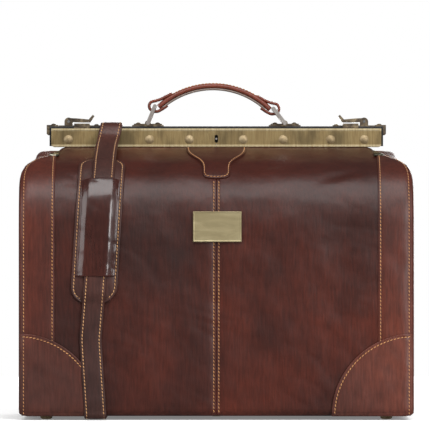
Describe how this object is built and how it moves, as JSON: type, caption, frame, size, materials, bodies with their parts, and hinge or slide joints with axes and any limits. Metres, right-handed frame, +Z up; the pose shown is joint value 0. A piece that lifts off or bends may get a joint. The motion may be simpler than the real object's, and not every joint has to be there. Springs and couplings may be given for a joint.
{
  "type": "doctor bag",
  "caption": "Hinged-frame leather doctor bag with rocking handle, swinging cam latches, key lock, sewn shoulders and a buckled shoulder strap with pad.",
  "frame": {"origin": "middle of the base, on the flat underside of the centre foot", "axes": "+X to the bag right seen from the front, -Y towards the front face with the keyhole, +Z up"},
  "size_m": [0.441, 0.2408, 0.377],
  "materials": {
    "front_leather": "glossy waxed",
    "side_leather": "glossy waxed",
    "strap_leather": "satin",
    "handle_leather": "satin",
    "handle_lining_leather": "matt",
    "antique_brass": "antique, brushed",
    "bright_brass": "worn bright",
    "gunmetal": "antique",
    "black_steel": "semi-gloss",
    "plain_steel": "satin",
    "lining_fabric": "woven cotton",
    "base_board": "fibre board"
  },
  "bodies": {
    "bag": {"back_corner_clips": "gunmetal", "back_corner_patches": "front_leather", "back_legs": "plain_steel", "back_panel": "front_leather", "back_rail": "black_steel", "back_rail_cover": "antique_brass", "back_rail_rivets": "bright_brass", "back_upper_panel": "front_leather", "base_board": "base_board", "base_feet": "bright_brass", "base_panel": "front_leather", "centre_tab": "front_leather", "front_corner_clips": "gunmetal", "front_corner_patches": "front_leather", "front_panel": "front_leather", "front_upper_panel": "front_leather", "hinge_pins": "plain_steel", "inner_pocket": "lining_fabric", "latch_pins": "plain_steel", "left_back_side_strip": "side_leather", "left_end_bracket": "gunmetal", "left_front_side_strip": "side_leather", "left_gusset": "side_leather", "left_gusset_back_fold": "side_leather", "left_gusset_front_fold": "side_leather", "left_handle_mount": "gunmetal", "left_latch_base": "gunmetal", "lining": "lining_fabric", "lock_strike": "plain_steel", "nameplate": "antique_brass", "pad_sleeve": "strap_leather", "right_back_side_strip": "side_leather", "right_end_bracket": "gunmetal", "right_front_side_strip": "side_leather", "right_gusset": "side_leather", "right_gusset_back_fold": "side_leather", "right_gusset_front_fold": "side_leather", "right_handle_mount": "gunmetal", "right_latch_base": "gunmetal", "shoulder_strap": "strap_leather", "strap_buckle": "gunmetal", "strap_keeper": "strap_leather", "strap_pad": "strap_leather", "top_rivets": "bright_brass"},
    "front_frame": {"front_rail_core": "black_steel", "front_rail_cover": "antique_brass", "front_rail_rivets": "bright_brass", "front_legs": "plain_steel", "hasp_tongues": "gunmetal", "lock_case": "plain_steel", "key_post": "plain_steel"},
    "lock_bolt": {"lock_bolt": "plain_steel"},
    "left_latch": {"left_latch_lever": "gunmetal"},
    "right_latch": {"right_latch_lever": "gunmetal"},
    "left_ring": {"left_handle_ring": "gunmetal"},
    "right_ring": {"right_handle_ring": "gunmetal"},
    "handle": {"handle_grip": "handle_leather", "handle_liner": "handle_lining_leather"},
    "prong": {"buckle_prong": "gunmetal"}
  },
  "joints": [
    {"name": "front_frame_open", "type": "hinge", "parent": "bag", "child": "front_frame", "pos_m": [0, 0, 0.228], "axis": [1, 0, 0], "range_deg": [0, 80], "deforming": ["front_upper_panel", "left_gusset_front_fold", "right_gusset_front_fold", "left_front_side_strip", "right_front_side_strip", "centre_tab", "front_corner_clips", "shoulder_strap", "strap_pad", "pad_sleeve"]},
    {"name": "lock_bolt_slide", "type": "slide", "parent": "front_frame", "child": "lock_bolt", "axis": [1, 0, 0], "range_m": [0, 0.0055]},
    {"name": "left_latch_swing", "type": "hinge", "parent": "bag", "child": "left_latch", "pos_m": [-0.1675, 0.0068, 0.3339], "axis": [0, -1, 0], "range_deg": [0, 100]},
    {"name": "right_latch_swing", "type": "hinge", "parent": "bag", "child": "right_latch", "pos_m": [0.1675, 0.0068, 0.3339], "axis": [0, 1, 0], "range_deg": [0, 100]},
    {"name": "handle_rock", "type": "hinge", "parent": "bag", "child": "left_ring", "pos_m": [-0.0775, 0.0072, 0.3319], "axis": [0, 1, 0], "range_deg": [-8, 8]},
    {"name": "handle_on_left_ring", "type": "hinge", "parent": "left_ring", "child": "handle", "pos_m": [-0.06963, 0.0072, 0.35137], "axis": [0, 1, 0], "range_deg": [-9.62, 9.62]},
    {"name": "right_ring_swing", "type": "hinge", "parent": "bag", "child": "right_ring", "pos_m": [0.0775, 0.0072, 0.3319], "axis": [0, 1, 0], "range_deg": [-9.97, 9.97]},
    {"name": "buckle_prong_swing", "type": "hinge", "parent": "bag", "child": "prong", "pos_m": [-0.1313, 0.1124, 0.19], "axis": [-1, 0, 0], "range_deg": [0, 25]}
  ],
  "couplings": [
    {"joint": "handle_on_left_ring", "follows": "handle_rock", "ratio": -1.1769},
    {"joint": "right_ring_swing", "follows": "handle_rock", "ratio": 1.2217}
  ]
}
